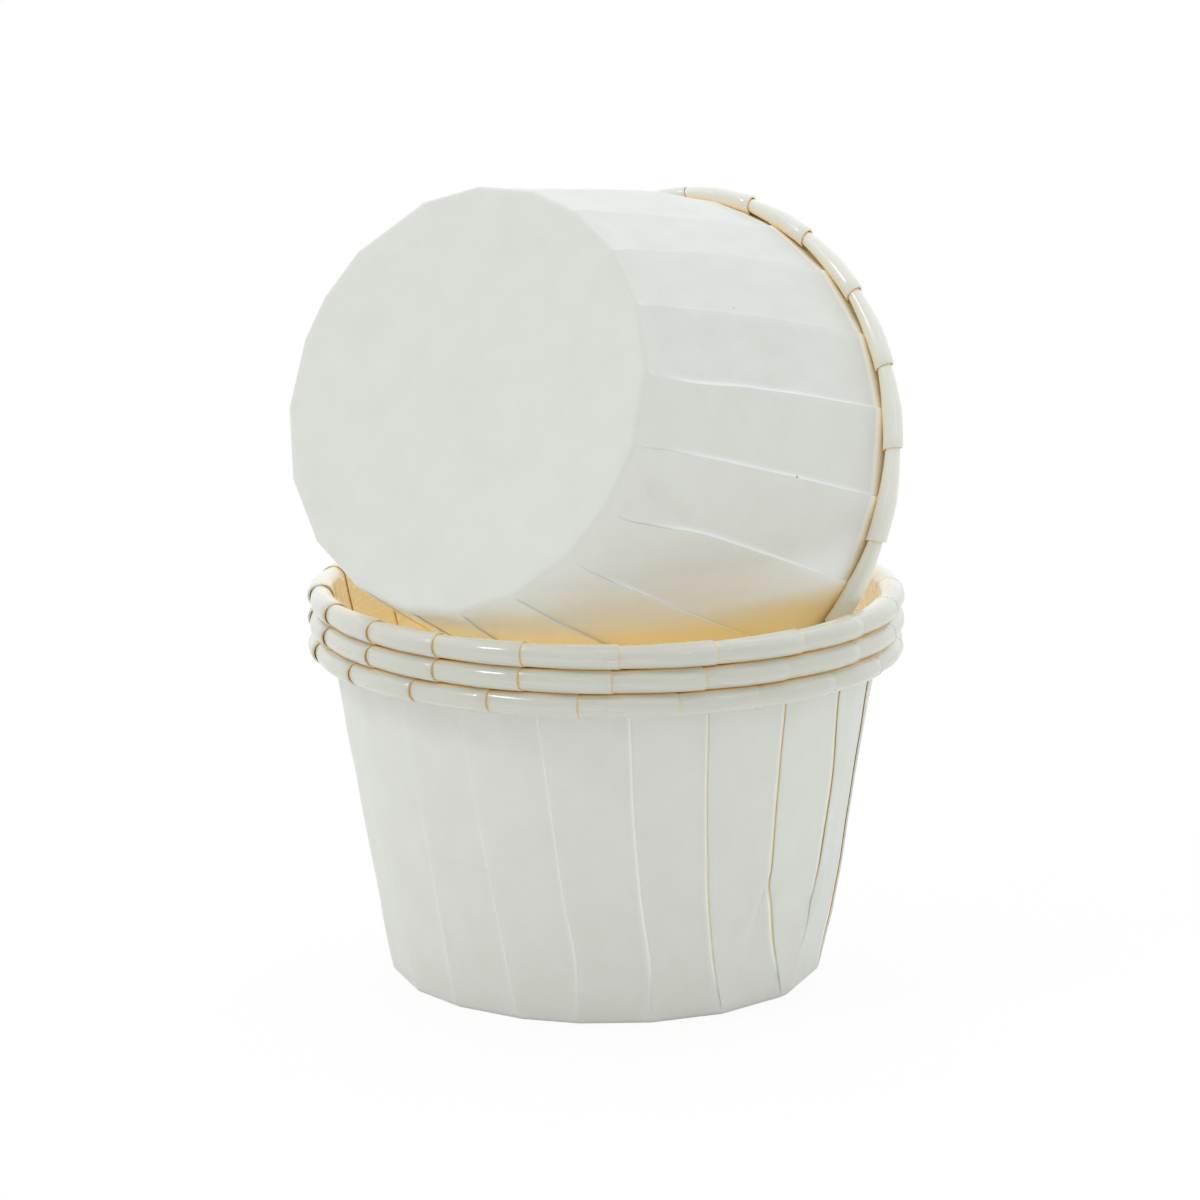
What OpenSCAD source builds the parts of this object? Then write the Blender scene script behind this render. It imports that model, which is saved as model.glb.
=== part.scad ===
// Paper portion cups: a nest of pleated cups with one loose cup lying in its mouth.
// Each cup is one disc of film-coated paper, pleated round a flat base, with the
// edge of the disc rolled outwards into a bead. Millimetres, +Z up, the front
// towards -Y, and the origin at the centre of the lowest base.

/* [Cup] */
// Width of the flat base across its corners
base_w = 50; // [49:0.25:50.5]
// Height from the underside of the base to the top of the rolled rim
cup_h = 40.25; // [39:0.25:41.5]
// Outer width of the rolled rim
rim_w = 68.6; // [68:0.1:69.2]
// Thickness of the rolled rim
bead_d = 2.7; // [2.6:0.05:2.8]
// How far round the paper is rolled in the rim, in degrees
roll_turn = 300; // [270:10:310]
// Thickness of the coated paper
paper_t = 0.1; // [0.08:0.01:0.1]

/* [Pleats] */
// Number of pleats round a cup
pleats = 20; // [18:1:22]
// Share of the spare paper that each fold takes up
fold_share = 0.93; // [0.8:0.01:1]
// Width of a fold where it starts at the base
fold_start = 0.5; // [0.3:0.1:0.8]
// Height over which a fold comes to its full depth
fold_rise = 5; // [3:0.5:8]
// How much of its depth a fold already has at the base
fold_root = 0.25; // [0.2:0.05:0.4]
// Unevenness of the folds round the base, in degrees
wander = 1.2; // [0:0.1:1.5]

/* [Nest] */
// Clearance between one rolled rim and the next
rim_gap = 0.03; // [0.02:0.01:0.1]
// Clearance between two nested walls where their folds lie over each other
wall_gap = 0.14; // [0.12:0.01:0.16]
// Direction of the first fold round the nested bases, in degrees
nest_phase = 12; // [0:1:18]
// Turn of the bottom cup's folds from base to rim, in degrees
bottom_twist = -3; // [-4:0.5:0]
// Turn of the middle cup's folds from base to rim, in degrees
middle_twist = 3; // [0:0.5:4]
// Turn of the top cup's folds from base to rim, in degrees
top_twist = 4.5; // [0:0.5:5]

/* [Loose cup] */
// Size of the loose cup as a share of a nested one, as those spread a little in the nest
loose_share = 0.968; // [0.96:0.002:0.97]
// Place of its rim's centre to the right of the nest's centre
loose_x = 4.7; // [3.7:0.1:5.6]
// Place of its rim's centre behind the nest's centre
loose_y = 9.9; // [8.6:0.1:10.6]
// Height of its rim's centre over the nest's top rim
loose_z = 11.6; // [11.3:0.1:13.8]
// Direction in which its mouth points, in degrees from +X
loose_turn = 54.2; // [52:0.1:57]
// Tilt of its mouth below the horizontal, in degrees
loose_dip = 20.5; // [18:0.5:22]
// How far its rim is pushed up, off its own centre
rim_lift = 0.87; // [0:0.01:1]
// How far its rim is pushed sideways, off its own centre
rim_push = 0.95; // [0:0.01:1.2]
// How far its rim is squeezed out of round
rim_squeeze = 0.7; // [0:0.05:0.9]
// Direction of the long way across its squeezed rim, in degrees
squeeze_dir = 126; // [110:1:140]
// Direction of its first fold, in degrees
loose_phase = 5; // [0:0.5:18]
// Turn of its folds from base to rim, in degrees
loose_twist = -0.5; // [-3:0.5:1]

/* [Hidden] */
paper_white = [0.95, 0.95, 0.93];

// Three layers of paper lie over each other in a fold
fold_half = 1.5 * paper_t;
// Middle surface of the paper in the roll, and the height of the roll's centre
roll_r = bead_d / 2 - fold_half;
hub_h = cup_h - bead_d / 2;
// The wall's rings of points, as shares of its slant height, and the rings in the roll
wall_rings = [0, 0.1, 0.5, 1];
roll_rings = 7;
// Slant of the wall, and the step from cup to cup that the rims and walls allow
wall_slope = (rim_w / 2 - bead_d - base_w / 2) / hub_h;
nest_step = max(bead_d + rim_gap, (2 * fold_half + wall_gap) / wall_slope);
nest_top = 2 * nest_step + cup_h;
// How the push on the loose rim fades towards its base
push_fade = 1.5;
// The nested cups spread over each other in the same places, so they wander alike
nest_seed = 3;
loose_seed = 9;
// Signs of the two sides of the paper, along the normal that points into the cup
FILM = 1;
PAPER = -1;

function blend(a, b, share) = a + (b - a) * share;

function polar(length, angle) = length * [cos(angle), sin(angle)];

// Section of a cup of a given size: the middle of the paper from the base's edge up the
// wall and round the roll, as [[radius, height], direction of the normal, arc length]
function section(size) =
    let (
        foot = [size * base_w / 2 - paper_t / 2, 0],
        hub = size * [rim_w / 2 - bead_d / 2, hub_h],
        reach = norm(hub - foot),
        lean = atan2(hub.y - foot.y, hub.x - foot.x) + asin(roll_r / reach),
        slant = sqrt(reach * reach - roll_r * roll_r),
        inward = lean + 90
    )
    concat(
        [for (share = wall_rings) [foot + polar(share * slant, lean), inward, share * slant]],
        [
            for (ring = [1:roll_rings])
            let (turned = roll_turn * ring / roll_rings)
            [hub + polar(roll_r, inward - turned), inward - turned, slant + roll_r * turned * PI / 180]
        ]
    );

// A fold is a flat Z: its outer edge shows on the paper side and its inner edge on the
// film side. Three points a fold on each side: which edge they are at, and how many
// paper thicknesses they lie off the middle
FILM_EDGES = [-1, 1, 1];
FILM_LAYERS = [1.5, 1.5, -0.5];
PAPER_EDGES = [-1, -1, 1];
PAPER_LAYERS = [-0.5, 1.5, 1.5];
POINTS = len(FILM_EDGES);

// One point on a side of the folded paper, before the rim is pushed
function sheet_point(side, rings, ring, slot, centre, twist) =
    let (
        mid = rings[ring][0],
        inward = rings[ring][1],
        along = rings[ring][2],
        slant = rings[len(wall_rings) - 1][2],
        depth = min(1, fold_root + along / fold_rise),
        layers = side == FILM ? FILM_LAYERS[slot] : PAPER_LAYERS[slot],
        edge = side == FILM ? FILM_EDGES[slot] : PAPER_EDGES[slot],
        place = mid + side * polar(paper_t * blend(0.5, layers, depth), inward),
        spare = along - (mid.x - rings[0][0].x),
        half_fold = (fold_start + fold_share * PI * spare / pleats) / 2,
        angle = centre + twist * along / slant + edge * half_fold / mid.x * 180 / PI,
        floor_z = side == FILM ? paper_t : 0,
        height = ring == 0 ? floor_z : place.y
    )
    [place.x, angle, height];

// The loose cup's rim is pushed off centre and out of round, and its base is not
function pushed(point, hub_z, push, squeeze) =
    let (
        share = pow(min(1, max(0, point.z / hub_z)), push_fade),
        radius = point.x + share * squeeze * cos(2 * (point.y - squeeze_dir)),
        flat = polar(radius, point.y) + share * push
    )
    [flat.x, flat.y, point.z];

// Two triangles between four corners, split the same way everywhere
function split(a, b, c, d) = [[a, b, c], [b, d, c]];

module cup(phase, twist, seed, size = 1, push = [0, 0], squeeze = 0) {
    rings = section(size);
    hub_z = size * hub_h;
    turn = 360 / pleats;
    drift = rands(-wander, wander, pleats, seed);
    centres = [for (fold = [0:pleats - 1]) phase + turn * fold + drift[fold]];
    round = pleats * POINTS;
    sheet = len(rings) * round;
    base_centre = [[0, 0, paper_t], [0, 0, 0]];
    points = concat(
        [
            for (side = [FILM, PAPER], ring = [0:len(rings) - 1], fold = [0:pleats - 1], slot = [0:POINTS - 1])
            pushed(sheet_point(side, rings, ring, slot, centres[fold], twist), hub_z, push, squeeze)
        ],
        base_centre
    );
    last = (len(rings) - 1) * round;
    faces = [
        for (here = [0:round - 1])
        let (next = (here + 1) % round)
        each concat(
            [[2 * sheet, next, here], [2 * sheet + 1, sheet + here, sheet + next]],
            split(last + here, last + next, sheet + last + here, sheet + last + next),
            [
                for (ring = [0:len(rings) - 2])
                let (low = ring * round, high = low + round)
                each concat(
                    split(low + here, low + next, high + here, high + next),
                    split(sheet + low + here, sheet + high + here, sheet + low + next, sheet + high + next)
                )
            ]
        )
    ];
    polyhedron(points, faces);
}

module bottom_cup() {
    color(paper_white)
        cup(nest_phase, bottom_twist, nest_seed);
}

module middle_cup() {
    color(paper_white)
        translate([0, 0, nest_step])
            cup(nest_phase, middle_twist, nest_seed);
}

module top_cup() {
    color(paper_white)
        translate([0, 0, 2 * nest_step])
            cup(nest_phase, top_twist, nest_seed);
}

module loose_cup() {
    color(paper_white)
        translate([loose_x, loose_y, nest_top + loose_z])
            rotate([0, 90 + loose_dip, loose_turn])
                translate([0, 0, -loose_share * hub_h])
                    cup(loose_phase, loose_twist, loose_seed, loose_share, -[rim_lift, rim_push], rim_squeeze);
}

bottom_cup();
middle_cup();
top_cup();
loose_cup();
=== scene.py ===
import math

import bpy
import numpy as np
from mathutils import Matrix, Vector


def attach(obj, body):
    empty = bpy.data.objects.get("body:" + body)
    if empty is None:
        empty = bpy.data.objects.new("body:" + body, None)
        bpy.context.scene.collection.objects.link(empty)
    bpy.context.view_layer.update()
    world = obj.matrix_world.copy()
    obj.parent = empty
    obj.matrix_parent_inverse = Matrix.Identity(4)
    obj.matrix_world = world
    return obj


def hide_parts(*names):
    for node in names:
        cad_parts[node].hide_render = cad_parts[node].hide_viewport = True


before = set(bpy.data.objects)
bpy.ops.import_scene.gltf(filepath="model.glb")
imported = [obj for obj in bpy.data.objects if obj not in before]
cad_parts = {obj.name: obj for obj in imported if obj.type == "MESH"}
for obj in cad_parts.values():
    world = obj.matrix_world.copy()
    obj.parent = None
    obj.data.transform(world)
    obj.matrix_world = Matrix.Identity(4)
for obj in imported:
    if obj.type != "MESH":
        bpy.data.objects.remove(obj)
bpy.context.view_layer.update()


# The bottom cup of the nest: one disc of white paper with a clear film on its inner face. A
# heated former presses the disc into a cone with a flat base, so the spare paper lies over
# itself in twenty flat pleats, and the edge of the disc is curled outwards into a bead.
MM = 0.001
PLEATS = 20
SHEET = 0.1
# radius at the foot of the wall, and radius and height of the line that the bead is rolled round
FOOT, RIM, HUB = 24.95, 32.9, 38.9
FOOT_BEND = 0.6
# how far round the bead is rolled, and from where and by how much it gets tighter
BEAD_TURN, TIGHTER_FROM, TIGHTER_BY = 335, 262, 0.12
BEAD_ROWS = 26
# the share of the spare paper that the pleats take up, and the distance between their layers
SPARE_SHARE, LAYER = 0.93, 0.12
# radius at which a dent across the wall is measured, and how far each length of bead flares
WALL_RADIUS = 28
FLARE = [-0.09, 0.07]
# the heights at which the direction of a pleat is given
KNOTS = [0, 3, 8, 15, 25, 37]

# The places across one pleat where its paper folds back under and over itself: share of the
# half width, part of a turn of the paper, and layer from the film side out
TURN = np.radians([-90, -45, 0, 45, 90])
PLEAT = np.array(
    [(-1, -1, -1), (-0.4, 0, -1), (0.4, 0, -1)]
    + [(1, math.cos(a), -0.5 + 0.5 * math.sin(a)) for a in TURN]
    + [(0.35, 0, 0), (-0.35, 0, 0)]
    + [(-1, -math.cos(a), 0.5 + 0.5 * math.sin(a)) for a in TURN]
    + [(-0.4, 0, 1), (0.3, 0, 1), (1, 1, 1)])
INNER_EDGE, OUTER_EDGE = 3, 12
PANEL = np.array([0.04, 0.1, 0.18, 0.27, 0.36, 0.45, 0.54, 0.63, 0.72, 0.8, 0.87, 0.93, 0.97])
COLUMNS = len(PLEAT) + len(PANEL)


def spread(seen, hidden):
    """The pleats that show, then the ones at the back, evenly between the last and the first."""
    last, first = np.array(seen[-1], float), np.array(seen[0], float) + 360
    shares = [(n + 1) / (hidden + 1) for n in range(hidden)]
    return list(seen) + [tuple(last + (first - last) * share) for share in shares]


def rise(value, start, over):
    """0 up to the start, and 1 from this far over it."""
    return np.clip((value - start) / over, 0, 1)


def angle_from(angle, direction):
    """How far an angle is from a direction, the short way round."""
    return (angle - direction + math.pi) % (2 * math.pi) - math.pi


def section(foot, rim, hub, roll, wall_rows):
    """The middle of the paper from the centre of the base over its edge, up the wall and round the bead."""
    reach = math.hypot(rim - foot, hub)
    lean = math.atan2(hub, rim - foot) + math.asin(roll / reach)
    slant = math.sqrt(reach ** 2 - roll ** 2)
    up = np.array([math.cos(lean), math.sin(lean)])
    corner = np.array([foot, SHEET / 2])
    before, after = corner - [FOOT_BEND, 0], corner + up * FOOT_BEND
    rows = [(share * before[0], SHEET / 2) for share in (0, 0.3, 0.55, 0.75, 0.88, 0.96)]
    for t in np.linspace(0, 1, 5):
        rows.append((1 - t) ** 2 * before + 2 * t * (1 - t) * corner + t * t * after)
    for n in range(wall_rows):
        rows.append(after + up * (slant - FOOT_BEND) * ((n + 1) / wall_rows) ** 0.93)
    for n in range(BEAD_ROWS):
        turned = BEAD_TURN * (n + 1) / BEAD_ROWS
        a = lean + math.pi / 2 - math.radians(turned)
        tighter = max(0, (turned - TIGHTER_FROM) / (BEAD_TURN - TIGHTER_FROM))
        r = roll * (1 - TIGHTER_BY * tighter ** 2)
        rows.append((rim + r * math.cos(a), hub + r * math.sin(a)))
    rows = np.array([tuple(row) for row in rows])
    step = np.gradient(rows, axis=0)
    step[0] = (1, 0)
    step /= np.linalg.norm(step, axis=1)[:, None]
    out = np.stack([step[:, 1], -step[:, 0]], 1)
    along = np.concatenate([[0], np.cumsum(np.linalg.norm(np.diff(rows, axis=0), axis=1))]) - foot
    return rows, out, along[:, None], slant


def flat_facets(x, radius, flatness):
    """How far the paper sags inwards where it is flat between one outer edge and the next."""
    sag = np.zeros_like(x)
    for n in range(len(x)):
        edges = x[n, OUTER_EDGE:-1:COLUMNS]
        edges = np.concatenate([edges[-1:] - 2 * np.pi, edges, edges[:1] + 2 * np.pi])
        share = np.interp(x[n], edges, np.arange(PLEATS + 2))
        facet = np.minimum(share.astype(int), PLEATS)
        share -= facet
        deepest = radius[n] * np.diff(edges)[facet] ** 2 / 8
        sag[n] = flatness[n] * deepest * 4 * share * (1 - share)
    return sag


def crumple(x, along, dents):
    """Soft ridges and dents: direction, height, half length, half width, lean, and how far they stand out."""
    total = np.zeros_like(x)
    for direction, height, length, width, lean, depth in dents:
        across = angle_from(x, math.radians(direction)) * WALL_RADIUS
        up = along - height
        a = math.radians(lean)
        ahead, aside = up * math.cos(a) + across * math.sin(a), across * math.cos(a) - up * math.sin(a)
        total += depth * np.exp(-(ahead / length) ** 2 - (aside / width) ** 2)
    return total


def uneven_bead(thinner):
    """Each length of the bead is rolled a little differently, and flares to the end that lies on top."""
    column = np.arange(PLEATS * COLUMNS + 1)
    joints = [n * COLUMNS + len(PLEAT) + place for n in range(PLEATS + 1) for place in (-1, 1)]
    each_side = [thinner[(n + side) % PLEATS] for n in range(PLEATS + 1) for side in (-1, 0)]
    ends = [n * COLUMNS + place for n in range(-1, PLEATS + 1) for place in (INNER_EDGE, len(PLEAT) - 1)]
    return np.interp(column, joints, each_side), np.interp(column, ends, FLARE * (PLEATS + 2))


def paper_grid(name, place, pattern, marks):
    """A grid of points as a mesh, with the pattern's coordinates and the marks that the materials read."""
    high, wide = place.shape[0] - 1, place.shape[1] - 1
    bpy.ops.object.select_all(action="DESELECT")
    bpy.ops.mesh.primitive_grid_add(x_subdivisions=wide, y_subdivisions=high, size=2)
    cup = bpy.context.object
    cup.name = name
    mesh = cup.data
    level = np.empty(len(mesh.vertices) * 3)
    mesh.vertices.foreach_get("co", level)
    level = level.reshape(-1, 3)
    column = np.rint((level[:, 0] + 1) / 2 * wide).astype(int)
    row = np.rint((level[:, 1] + 1) / 2 * high).astype(int)
    mesh.vertices.foreach_set("co", (place[row, column] * MM).ravel())
    for label, values in marks.items():
        mesh.attributes.new(label, "FLOAT", "POINT").data.foreach_set("value", values[row, column])
    corners = np.empty(len(mesh.loops), int)
    mesh.loops.foreach_get("vertex_index", corners)
    mesh.uv_layers.active.data.foreach_set("uv", pattern[row, column][corners].ravel())
    bpy.ops.object.mode_set(mode="EDIT")
    bpy.ops.mesh.select_all(action="SELECT")
    bpy.ops.mesh.remove_doubles(threshold=0.000001)
    bpy.ops.mesh.normals_make_consistent(inside=False)
    bpy.ops.object.mode_set(mode="OBJECT")
    return cup


def pressed_cup(name, pleats, z=0, size=1, rim=RIM, hub=HUB, roll=1.285, bead_layer=0.14, pressed=0.85,
                lifts=(), film_lift=0.02, flat=0.45, waves=0.12, dents=(), crushed=(), touches=(),
                bead_glow=0.3, wall_rows=36, seed=1, bend=None):
    """One cup as a closed sheet without thickness, its paper laid in Z-folds round the section.

    pleats: the direction of each pleat at each of the knots' heights
    pressed: how flat the layers are pressed where one bead lies on another
    lifts: for a pleat, how far its outer edge stands off and from what height
    flat, waves: how flat the facets still are above the foot, and how uneven the paper is
    crushed: for a length of the bead, the share of the roll by which it is crushed inwards
    touches: 1 where another bead lies on top of this one, and -1 where one lies below; it places the painted
    warm light in the groove between them
    """
    rng = np.random.default_rng(seed)
    foot = size * FOOT
    rows, out, along, slant = section(foot, size * rim, size * hub, roll, wall_rows)
    radius, end = rows[:, :1], along[-1]

    # how wide and how thick a pleat is at each row, thinner where beads press on each other
    spare = np.clip(along - (radius - foot), 0, None)
    half = np.pi * SPARE_SHARE * spare / PLEATS / 2
    bead = rise(along, slant, 2.5)
    free = 1 - pressed * out[:, 1:] ** 2
    in_bead = bead_layer * free * (1 - 0.5 * rise(along, end - 8 / 3, 8 / 3))
    thick = np.minimum(LAYER + (in_bead - LAYER) * bead, 1.1 * half)
    wall = rise(along, 1, 6) * (1 - bead)

    # how far each pleat's outer edge stands off, where it starts, and how much painted warm light goes
    # beneath it
    gaps = [dict(lifts).get(n, (0.005, 1)) for n in range(PLEATS)]
    lift = [gap * rise(along, lowest, 6) for gap, lowest in gaps]
    folded = [np.minimum(rise(along, -0.3, 3), rise(along, lowest - 5, 5)) for gap, lowest in gaps]
    glow = [np.clip(0.05 + 20 * off, 0, 1) * fold for off, fold in zip(lift, folded)]

    # the folds; on the base they are pressed out level
    x, y, paper_painted_light, film_painted_light = (np.zeros((len(rows), PLEATS * COLUMNS + 1)) for grid in range(4))
    outer_share = ((1 - PLEAT[:, 0]) / 2) ** 1.6 * (PLEAT[:, 2] > -0.6)
    inner_share = ((1 + PLEAT[:, 0]) / 2) ** 1.6 * (PLEAT[:, 2] < 0.6)
    in_folds = np.maximum(half - thick / 2, 0) * PLEAT[:, 0] + thick / 2 * PLEAT[:, 1]
    level_out = np.linspace(-0.5, 0.5, len(PLEAT)) * np.clip(radius / foot, 0, 1)
    for n in range(PLEATS):
        here = slice(n * COLUMNS, n * COLUMNS + len(PLEAT))
        centre = np.interp(rows[:, 1] / size, KNOTS, pleats[n])
        for ease in range(4):
            centre[1:-1] = (centre[:-2] + 2 * centre[1:-1] + centre[2:]) / 4
        wide = in_folds * folded[n] + level_out * (1 - folded[n])
        x[:, here] = np.radians(centre)[:, None] + wide / np.maximum(radius, 0.02)
        y[:, here] = thick * folded[n] * PLEAT[:, 2]
        y[:, here] += lift[n] * wall * outer_share - film_lift * wall * inner_share
        # painted light: under a lifted outer edge the paper gets warm colour, and so does the film inside the
        # fold
        paper_painted_light[:, here] = glow[n] * (PLEAT[:, 2] < 0.4)
        film_painted_light[:, here] = folded[n] * (PLEAT[:, 2] > -0.4)

    # the single sheet between each pleat and the next
    for n in range(PLEATS):
        here = slice(n * COLUMNS + len(PLEAT), (n + 1) * COLUMNS)
        after = (n + 1) % PLEATS
        start = x[:, here.start - 1:here.start]
        stop = x[:, after * COLUMNS:after * COLUMNS + 1] + (2 * np.pi if after == 0 else 0)
        x[:, here] = start + (stop - start) * PANEL
        y[:, here] = thick * folded[n] * (1 - PANEL) - thick * folded[after] * PANEL
        # painted light: warm colour at the end of each panel under the next pleat's edge, and on the film
        # where it tucks in
        paper_painted_light[:, here] = glow[after] * rise(PANEL, 0.92, 0.08)
        film_painted_light[:, here] = folded[n] * (1 - rise(PANEL, 0, 0.06))
    for grid, extra in ((x, 2 * np.pi), (y, 0), (paper_painted_light, 0), (film_painted_light, 0)):
        grid[:, -1] = grid[:, 0] + extra

    # the facets are flat at the foot and rounder towards the rim, and never quite smooth
    flatness = (1 + (flat - 1) * rise(along, 0, 14)) * (1 - bead)
    sag = flat_facets(x, radius, flatness)
    ripples = 9
    for ripple in range(ripples):
        round_cup, up_wall, phase = rng.integers(5, 60), rng.uniform(0.1, 0.9), rng.uniform(0, 6.28)
        y += waves / ripples * wall * np.sin(round_cup * x + up_wall * along + phase)
    y += wall * crumple(x, along, dents)
    thinner = rng.uniform(0, 0.012, PLEATS)
    for n, share in dict(crushed).items():
        thinner[n] = share
    inwards, flare = uneven_bead(thinner)
    y += (roll * inwards + flare * free) * bead

    # painted light: warm colour for the light held along the lines where beads touch, inside the roll and
    # beside it
    for side in touches:
        groove = rise(-side * out[:, 1:], 0.82, 0.16) * (along > slant)
        film_painted_light = np.maximum(film_painted_light, groove)
    film_painted_light = np.maximum(film_painted_light, bead_glow * rise(along, end - 1.2, 0.8))
    beside = bead_glow * rise(along, slant - 2.2, 1.4)
    inside = rise(along, slant, 1.2)
    paper_painted_light = np.maximum(paper_painted_light, np.maximum(beside, inside))

    y = np.where(along < -0.2, 0, y)
    r = radius - sag + y * out[:, :1]
    place = np.stack([r * np.cos(x), r * np.sin(x), rows[:, 1:] + y * out[:, 1:]], -1)
    if bend is not None:
        place = bend(place, x)
    place[..., 2] += z
    # the pattern's coordinates are in centimetres, round the cup and along the paper
    pattern = np.stack([x * 3, np.broadcast_to(along / 10, x.shape)], -1)
    marks = {"paper_painted_light": paper_painted_light, "film_painted_light": film_painted_light, "rolled": np.broadcast_to(bead, x.shape)}
    return paper_grid(name, place, pattern, marks)


def give_thickness(cup, paper, film):
    """The sheet's own thickness, centred on the folded grid, with the film on the inner face."""
    cup.data.materials.append(film)
    cup.data.materials.append(paper)
    solid = cup.modifiers.new("Thickness", "SOLIDIFY")
    solid.thickness = SHEET * MM
    solid.offset = 0
    solid.material_offset = 1
    bpy.context.view_layer.objects.active = cup
    bpy.ops.object.modifier_apply(modifier=solid.name)
    bpy.ops.object.shade_smooth()


def node(tree, kind, **values):
    """A new node of a material, with its settings."""
    made = tree.nodes.new(kind)
    for key, value in values.items():
        setattr(made, key, value)
    return made


def matte_paper(name):
    """Uncoated bleached paper: cloudy and finely fibrous, painted paler and then warmer where light is held
    in a fold, by the bead or in the loose cup's mouth.
    """
    material = bpy.data.materials.new(name)
    material.use_nodes = True
    tree = material.node_tree
    bsdf = tree.nodes["Principled BSDF"]
    coords = node(tree, "ShaderNodeTexCoord")
    cloud = node(tree, "ShaderNodeTexNoise")
    cloud.inputs["Scale"].default_value = 190
    cloud.inputs["Detail"].default_value = 7
    cloud.inputs["Roughness"].default_value = 0.65
    tree.links.new(coords.outputs["Object"], cloud.inputs["Vector"])
    ramp = node(tree, "ShaderNodeValToRGB")
    ramp.color_ramp.elements[0].position = 0.3
    ramp.color_ramp.elements[0].color = (0.705, 0.722, 0.685, 1)
    ramp.color_ramp.elements[1].position = 0.7
    ramp.color_ramp.elements[1].color = (0.74, 0.752, 0.727, 1)
    tree.links.new(cloud.outputs["Fac"], ramp.inputs["Fac"])
    # painted light: the fold and mouth marks make the paper paler, then warm orange, for the light held there
    painted_fold_light = node(tree, "ShaderNodeAttribute", attribute_name="paper_painted_light")
    mouth_painted_light = node(tree, "ShaderNodeAttribute", attribute_name="mouth_painted_light")
    either = node(tree, "ShaderNodeMath", operation="MAXIMUM")
    tree.links.new(painted_fold_light.outputs["Fac"], either.inputs[0])
    tree.links.new(mouth_painted_light.outputs["Fac"], either.inputs[1])
    glow = node(tree, "ShaderNodeValToRGB")
    glow.color_ramp.elements[0].position = 0.5
    glow.color_ramp.elements[0].color = (0.92, 0.96, 0.99, 1)
    glow.color_ramp.elements[1].color = (1.0, 0.87, 0.54, 1)
    tree.links.new(either.outputs["Value"], glow.inputs["Fac"])
    early = node(tree, "ShaderNodeMapRange")
    early.inputs["From Max"].default_value = 0.5
    tree.links.new(either.outputs["Value"], early.inputs["Value"])
    warm = node(tree, "ShaderNodeMix", data_type="RGBA")
    tree.links.new(early.outputs["Result"], warm.inputs["Factor"])
    tree.links.new(ramp.outputs["Color"], warm.inputs["A"])
    tree.links.new(glow.outputs["Color"], warm.inputs["B"])
    cells = node(tree, "ShaderNodeTexVoronoi")
    cells.inputs["Scale"].default_value = 700
    tree.links.new(coords.outputs["Object"], cells.inputs["Vector"])
    near = node(tree, "ShaderNodeMath", operation="LESS_THAN")
    near.inputs[1].default_value = 0.09
    tree.links.new(cells.outputs["Distance"], near.inputs[0])
    few = node(tree, "ShaderNodeMath", operation="GREATER_THAN")
    few.inputs[1].default_value = 0.955
    tree.links.new(cells.outputs["Color"], few.inputs[0])
    speck = node(tree, "ShaderNodeMath", operation="MULTIPLY")
    tree.links.new(near.outputs["Value"], speck.inputs[0])
    tree.links.new(few.outputs["Value"], speck.inputs[1])
    speckled = node(tree, "ShaderNodeMix", data_type="RGBA")
    speckled.inputs["B"].default_value = (0.3, 0.28, 0.24, 1)
    tree.links.new(speck.outputs["Value"], speckled.inputs["Factor"])
    tree.links.new(warm.outputs["Result"], speckled.inputs["A"])
    tree.links.new(speckled.outputs["Result"], bsdf.inputs["Base Color"])
    fibre = node(tree, "ShaderNodeTexNoise")
    fibre.inputs["Scale"].default_value = 2600
    fibre.inputs["Detail"].default_value = 6
    tree.links.new(coords.outputs["Object"], fibre.inputs["Vector"])
    rough = node(tree, "ShaderNodeMapRange")
    rough.inputs["To Min"].default_value = 0.7
    rough.inputs["To Max"].default_value = 0.9
    tree.links.new(fibre.outputs["Fac"], rough.inputs["Value"])
    tree.links.new(rough.outputs["Result"], bsdf.inputs["Roughness"])
    bump = node(tree, "ShaderNodeBump")
    bump.inputs["Strength"].default_value = 0.2
    bump.inputs["Distance"].default_value = 0.00008
    tree.links.new(fibre.outputs["Fac"], bump.inputs["Height"])
    dent = node(tree, "ShaderNodeBump")
    dent.inputs["Strength"].default_value = 0.15
    dent.inputs["Distance"].default_value = 0.0006
    tree.links.new(cloud.outputs["Fac"], dent.inputs["Height"])
    tree.links.new(bump.outputs["Normal"], dent.inputs["Normal"])
    tree.links.new(dent.outputs["Normal"], bsdf.inputs["Normal"])
    bsdf.inputs["Specular IOR Level"].default_value = 0.25
    return material


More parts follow.
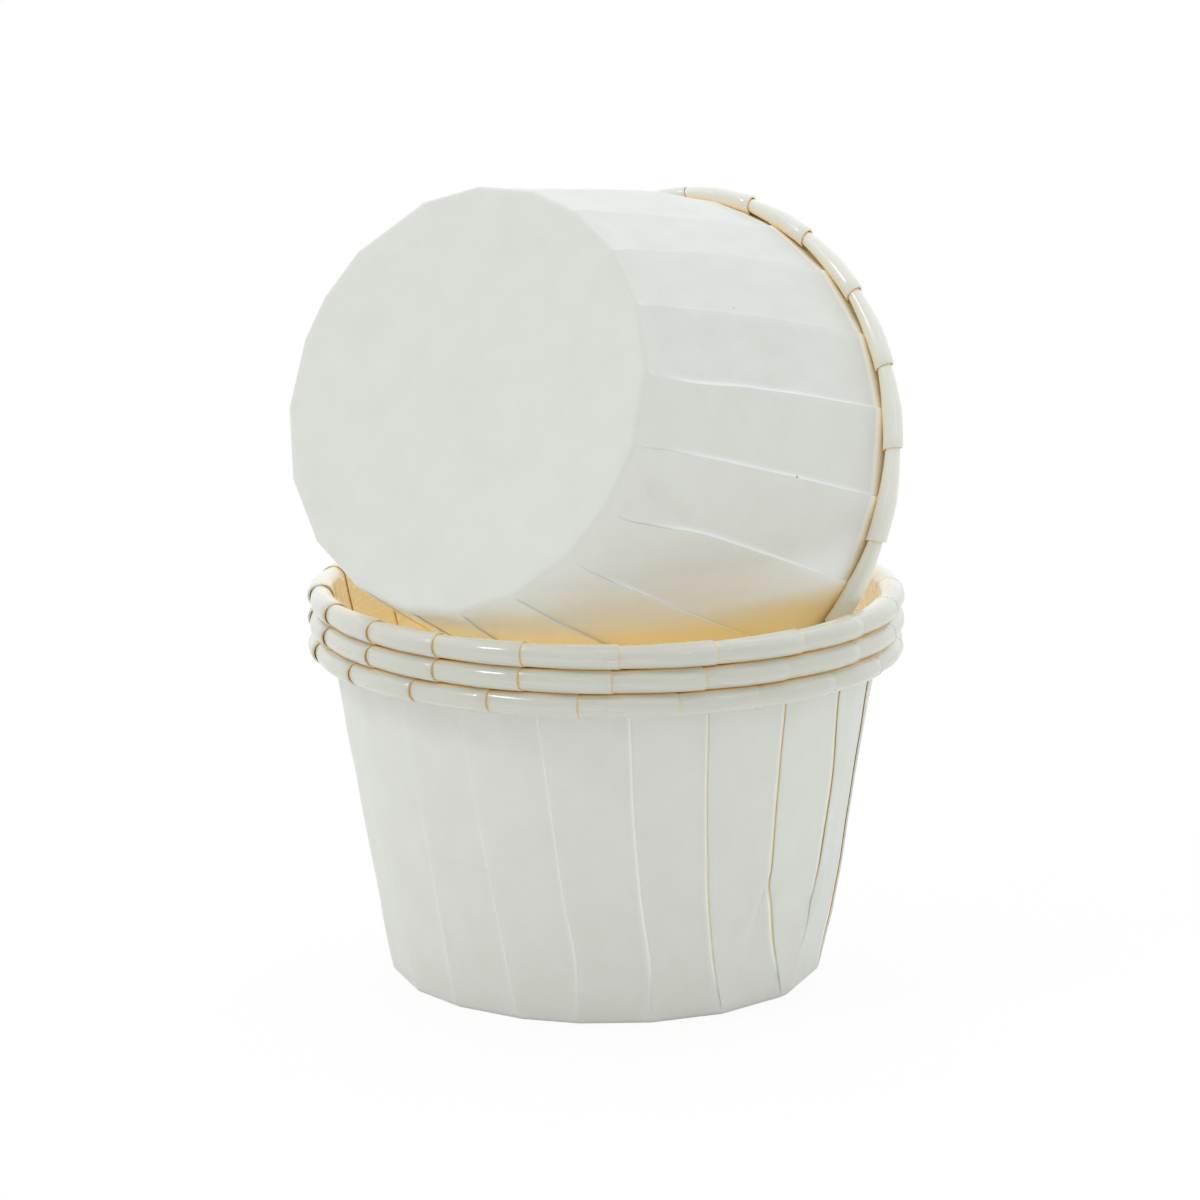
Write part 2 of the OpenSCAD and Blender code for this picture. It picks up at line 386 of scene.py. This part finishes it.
def coated_film(name, inside=(1.0, 0.89, 0.65), on_bead=(0.63, 0.64, 0.585)):
    """The film side: clear plastic on paper, streaked along the bead where the roll stretched it. Its colour
    in the cup's mouth is painted warm light, and it is painted warmer still in folds, in the grooves between
    beads and at the roll's end.
    """
    material = bpy.data.materials.new(name)
    material.use_nodes = True
    tree = material.node_tree
    bsdf = tree.nodes["Principled BSDF"]
    coords = node(tree, "ShaderNodeTexCoord")
    stretch = node(tree, "ShaderNodeMapping")
    stretch.inputs["Scale"].default_value = (0.7, 8, 1)
    tree.links.new(coords.outputs["UV"], stretch.inputs["Vector"])
    streak = node(tree, "ShaderNodeTexNoise")
    streak.inputs["Scale"].default_value = 1.6
    streak.inputs["Detail"].default_value = 3
    tree.links.new(stretch.outputs["Vector"], streak.inputs["Vector"])
    rolled = node(tree, "ShaderNodeAttribute", attribute_name="rolled")
    side = node(tree, "ShaderNodeMix", data_type="RGBA")
    side.inputs["A"].default_value = (*inside, 1)
    side.inputs["B"].default_value = (*on_bead, 1)
    tree.links.new(rolled.outputs["Fac"], side.inputs["Factor"])
    # painted light: the film is painted warm where the fold mark is high, in folds, in the grooves between
    # beads and at the roll's end
    under = node(tree, "ShaderNodeAttribute", attribute_name="film_painted_light")
    warm = node(tree, "ShaderNodeMix", data_type="RGBA")
    warm.inputs["B"].default_value = (1.0, 0.77, 0.44, 1)
    tree.links.new(under.outputs["Fac"], warm.inputs["Factor"])
    tree.links.new(side.outputs["Result"], warm.inputs["A"])
    ramp = node(tree, "ShaderNodeValToRGB")
    ramp.color_ramp.elements[0].position = 0.35
    ramp.color_ramp.elements[0].color = (0.96, 0.96, 0.945, 1)
    ramp.color_ramp.elements[1].position = 0.65
    tree.links.new(streak.outputs["Fac"], ramp.inputs["Fac"])
    shade = node(tree, "ShaderNodeMix", data_type="RGBA", blend_type="MULTIPLY")
    shade.inputs["Factor"].default_value = 1
    tree.links.new(warm.outputs["Result"], shade.inputs["A"])
    tree.links.new(ramp.outputs["Color"], shade.inputs["B"])
    tree.links.new(shade.outputs["Result"], bsdf.inputs["Base Color"])
    rough = node(tree, "ShaderNodeMapRange")
    rough.inputs["From Min"].default_value = 0.35
    rough.inputs["From Max"].default_value = 0.65
    rough.inputs["To Min"].default_value = 0.12
    rough.inputs["To Max"].default_value = 0.32
    tree.links.new(streak.outputs["Fac"], rough.inputs["Value"])
    tree.links.new(rough.outputs["Result"], bsdf.inputs["Roughness"])
    bump = node(tree, "ShaderNodeBump")
    bump.inputs["Strength"].default_value = 0.15
    bump.inputs["Distance"].default_value = 0.00008
    tree.links.new(streak.outputs["Fac"], bump.inputs["Height"])
    tree.links.new(bump.outputs["Normal"], bsdf.inputs["Normal"])
    bsdf.inputs["Specular IOR Level"].default_value = 0.7
    return material


paper = matte_paper("uncoated_paper")
film = coated_film("film_coated_paper")
bottom_pleats = spread([
    (188, 188.2, 188.4, 188.5, 188.5, 188.5), (209.6, 209.3, 209, 208.7, 208.3, 208),
    (227, 227.2, 227.4, 227.5, 227.3, 226.2), (247, 246.2, 245.7, 244.8, 243.8, 243.1),
    (262.5, 263.5, 264.1, 262.3, 261.4, 260.4), (281.2, 282.4, 282.2, 280.3, 279.3, 279.2),
    (302, 300.2, 298.2, 296.5, 295.7, 295.4), (323.8, 321.1, 317.1, 314.2, 313.9, 313.9),
    (326, 327.5, 329.8, 334, 334.3, 331.1), (351, 353, 355.9, 355.9, 351, 348.8)], 10)
# how far the outer edge of a pleat stands off the wall, and the height from which it does
bottom_lifts = {
    2: (0.015, 1), 3: (0.012, 1), 4: (0.018, 1), 5: (0.035, 2),
    6: (0.06, 2), 7: (0.1, 3), 8: (0.1, 11), 9: (0.08, 1)}
# the creases at the foot between the last pleats that show, and the soft ones elsewhere
bottom_dents = [
    (310.5, 13, 3.8, 0.9, 20, -0.65), (308, 12.5, 3.6, 1.0, 22, 0.65), (333, 11, 3.6, 1.0, 14, 0.55),
    (326, 7, 3, 1.6, 10, 0.25), (262, 2.5, 2, 1.0, 30, 0.2), (357, 12, 8, 5, 0, 0.25)]
bottom = pressed_cup("bottom_paper_cup", bottom_pleats, lifts=bottom_lifts, dents=bottom_dents, touches=(1,),
                     seed=2)
give_thickness(bottom, paper, film)
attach(bottom, "root")
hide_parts("bottom_cup")


# The middle cup of the nest, of the same paper and pressed like the others. Only its bead
# shows, between the other two, so its wall is plainer.
STEP = 2.73
middle_pleats = spread([
    (188, 188, 189, 190, 192, 196), (206, 206, 207, 208, 210, 214.1), (224, 224, 225, 226, 228, 231.6),
    (242, 242, 243, 244, 246, 249.3), (260, 260, 261, 262, 264, 266.7), (278, 278, 279, 280, 282, 284.3),
    (296, 296, 297, 298, 300, 301.7), (314, 314, 315, 316, 319, 321.7)], 12)
middle = pressed_cup("middle_paper_cup", middle_pleats, z=STEP, flat=0.2, waves=0, touches=(-1, 1),
                     wall_rows=20, seed=5)
give_thickness(middle, paper, film)
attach(middle, "root")
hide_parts("middle_cup")


# The top cup of the nest, of the same film-coated paper. Its film side shows in its mouth, painted
# warm for the light held inside it, and its bead carries the loose cup.
top_pleats = spread([
    (188, 188, 189, 191, 194, 197.4), (206, 206, 207, 209, 212, 214.5), (224, 224, 225, 227, 230, 231.7),
    (242, 242, 243, 245, 247, 249.7), (260, 260, 261, 263, 265, 268), (278, 278, 279, 281, 284, 286.6),
    (296, 296, 297, 299, 302, 305.6), (314, 314, 315, 317, 320, 323.1)], 12)
top = pressed_cup("top_paper_cup", top_pleats, z=2 * STEP, flat=0.3, waves=0.04, film_lift=0.06,
                  touches=(-1,), seed=7)
give_thickness(top, paper, film)
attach(top, "root")
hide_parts("top_cup")


# The loose cup, lying on its side over the nest with its rim down in the top cup's mouth. It
# is pressed and rolled like the others, but a little smaller, as no other cup spreads it, and
# its rim is pushed slightly out of round.
LOOSE = 0.968
LOOSE_HUB = LOOSE * HUB
# how far the rim is pushed up, aside, out of round, and in at the one crushed length of bead
RIM_UP, RIM_ASIDE, SQUEEZE, CRUSHED = 0.87, 0.95, 0.7, 0.5
SQUEEZE_DIRECTION, CRUSHED_DIRECTION, CRUSHED_WIDTH = np.radians([126, 160, 10])
loose_pleats = [
    (187.2, 187.1, 187, 186.9, 186.7, 186.6), (202.5, 202.5, 202.6, 202.7, 202.9, 203),
    (220.3, 220, 219.3, 218.2, 217.8, 221), (238.2, 238, 237.9, 237.5, 237.8, 239.3),
    (256, 257.9, 257.9, 256.7, 256.4, 256.8), (276.2, 276, 275.4, 275.2, 275.3, 275.8),
    (293, 295.6, 294.8, 293, 293.6, 294.3), (309, 311.8, 312.6, 312.8, 312.8, 312.8),
    (329, 330.6, 331, 331, 331, 331), (345.8, 348.5, 350.4, 350.3, 350.2, 350)]
# the ones below and behind, which run straight from base to rim
for direction in (364, 382, 401, 421, 440.8, 460, 472.5, 488, 512, 529.5):
    loose_pleats.append((direction,) * len(KNOTS))
loose_lifts = {4: (0.03, 2), 5: (0.03, 4), 6: (0.03, 6), 7: (0.03, 6)}
# wrinkles near its base, and a bulge along its top
loose_dents = [
    (286, 5, 3.2, 0.9, 30, -0.7), (283.5, 6, 3, 1.0, 30, 0.6), (288.5, 10.5, 1.8, 0.9, 40, -0.55),
    (285.5, 10, 2, 1.1, 20, 0.5), (180, 22, 13, 8, 0, 1.0)]


def out_of_round(place, angle):
    """The rim pushed off centre and squeezed, fading to nothing at the base."""
    share = np.clip(place[..., 2] / LOOSE_HUB, 0, 1) ** 1.5
    wider = share * SQUEEZE * np.cos(2 * (angle - SQUEEZE_DIRECTION))
    off = angle_from(angle, CRUSHED_DIRECTION) / CRUSHED_WIDTH
    wider -= CRUSHED * share ** 4 * np.exp(-off ** 2)
    place[..., 0] += wider * np.cos(angle) - share * RIM_UP
    place[..., 1] += wider * np.sin(angle) - share * RIM_ASIDE
    return place


loose = pressed_cup("loose_paper_cup", loose_pleats, size=LOOSE, rim=33.13, hub=39.08, roll=0.98,
                    bead_layer=0.12, pressed=0.2, lifts=loose_lifts, flat=0.95, dents=loose_dents,
                    crushed={18: 0.3}, bead_glow=1, seed=11, bend=out_of_round)
# it is turned about Z, and its mouth dips below the horizontal
nest_top = 2 * STEP + 40.25
turned, dipped = math.radians(54.2), math.radians(20.5)
rim_centre = Vector((4.7, 9.9, nest_top + 11.6)) * MM
lying = Matrix.Rotation(turned, 4, "Z") @ Matrix.Rotation(math.pi / 2 + dipped, 4, "Y")
loose.data.transform(Matrix.Translation(rim_centre) @ lying @ Matrix.Translation((0, 0, -LOOSE_HUB * MM)))
# painted light: its side is painted paler and warmer where it hangs in the nest's mouth, higher up towards
# its own rim
axis = lying.to_3x3() @ Vector((0, 0, 1))
spots = [v.co for v in loose.data.vertices]
from_base = np.array([(co - rim_centre).dot(axis) for co in spots]) / MM + LOOSE_HUB
height = np.array([co.z for co in spots]) / MM
mouth_painted_light = np.interp(height - 3.5 * (from_base / LOOSE_HUB) ** 2, [42.1, 45.6, 51.5], [1, 0.5, 0])
mouth_painted_light *= rise(from_base, 1, 3)
loose.data.attributes.new("mouth_painted_light", "FLOAT", "POINT").data.foreach_set("value", mouth_painted_light)
# painted light: its film is painted paler, a lit copy of the others, as daylight reaches it from both sides
give_thickness(loose, paper, coated_film("painted_light_film_coated_paper", (0.93, 0.9, 0.81), (0.79, 0.8, 0.74)))
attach(loose, "root")
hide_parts("loose_cup")


# The studio: a wide white table top under soft light from all round, brighter above and
# behind, one lamp for the shine on the beads, and a faint warm one down inside the nest for
# the light that its thin walls let through.
bpy.ops.mesh.primitive_plane_add(size=12)
floor = bpy.context.object
floor.name = "floor"
ground = bpy.data.materials.new("white_table")
ground.use_nodes = True
tabletop = ground.node_tree
cloth = tabletop.nodes["Principled BSDF"]
cloth.inputs["Base Color"].default_value = (0.93, 0.925, 0.9, 1)
cloth.inputs["Roughness"].default_value = 1
cloth.inputs["Specular IOR Level"].default_value = 0
# it is partly white by itself where the camera or a reflection sees it, and keeps its shadow
seen = node(tabletop, "ShaderNodeLightPath")
mirrored = node(tabletop, "ShaderNodeMath", operation="MAXIMUM")
tabletop.links.new(seen.outputs["Is Glossy Ray"], mirrored.inputs[0])
tabletop.links.new(seen.outputs["Is Transmission Ray"], mirrored.inputs[1])
straight = node(tabletop, "ShaderNodeMath", operation="MAXIMUM")
tabletop.links.new(seen.outputs["Is Camera Ray"], straight.inputs[0])
tabletop.links.new(mirrored.outputs["Value"], straight.inputs[1])
part = node(tabletop, "ShaderNodeMath", operation="MULTIPLY")
part.inputs[1].default_value = 0.9
white = node(tabletop, "ShaderNodeEmission")
blend = node(tabletop, "ShaderNodeMixShader")
tabletop.links.new(straight.outputs["Value"], part.inputs[0])
tabletop.links.new(part.outputs["Value"], blend.inputs["Fac"])
tabletop.links.new(cloth.outputs["BSDF"], blend.inputs[1])
tabletop.links.new(white.outputs["Emission"], blend.inputs[2])
tabletop.links.new(blend.outputs["Shader"], tabletop.nodes["Material Output"].inputs["Surface"])
floor.data.materials.append(ground)

world = bpy.data.worlds.new("studio")
bpy.context.scene.world = world
world.use_nodes = True
sky = world.node_tree
toward = node(sky, "ShaderNodeTexCoord")
bright_way = node(sky, "ShaderNodeVectorMath", operation="DOT_PRODUCT")
bright_way.inputs[1].default_value = (0.08, 0.58, 0.52)
level = node(sky, "ShaderNodeMapRange")
level.inputs["From Min"].default_value = -0.55
level.inputs["From Max"].default_value = 0.75
level.inputs["To Min"].default_value = 0.34
level.inputs["To Max"].default_value = 1.44
cool = node(sky, "ShaderNodeMix", data_type="RGBA")
cool.inputs["A"].default_value = (1.0, 0.99, 0.95, 1)
cool.inputs["B"].default_value = (0.94, 0.98, 1.05, 1)
sky.links.new(toward.outputs["Generated"], bright_way.inputs[0])
sky.links.new(bright_way.outputs["Value"], level.inputs["Value"])
sky.links.new(bright_way.outputs["Value"], cool.inputs["Factor"])
sky.links.new(cool.outputs["Result"], sky.nodes["Background"].inputs["Color"])
sky.links.new(level.outputs["Result"], sky.nodes["Background"].inputs["Strength"])

bpy.ops.object.light_add(type="AREA", location=(-0.6, -0.35, 0.85))
key = bpy.context.object
key.name = "key"
key.data.shape = "DISK"
key.data.size = 0.18
key.data.energy = 1.35
key.rotation_mode = "QUATERNION"
key.rotation_quaternion = (key.location - Vector((0, 0, 0.04))).to_track_quat("Z", "Y")

bpy.ops.object.light_add(type="AREA", location=(-0.005, -0.002, 0.012), rotation=(math.pi, 0, 0))
inner = bpy.context.object
inner.name = "inner"
inner.data.shape = "DISK"
inner.data.size = 0.04
inner.data.energy = 0.0052
inner.data.color = (1.0, 0.87, 0.67)
inner.visible_camera = False
inner.visible_glossy = False

# a long lens from the front, looking down a little
look_down, look_left = 0.2191, 0.0009
looking = (math.pi / 2 - look_down, 0, look_left)
bpy.ops.object.camera_add(location=(-0.0002, -0.55, 0.16591), rotation=looking)
camera = bpy.context.object
camera.data.sensor_width = 36
camera.data.lens = 146.27
camera.data.clip_start = 0.01
bpy.context.scene.camera = camera
bpy.context.scene.view_settings.view_transform = "Standard"
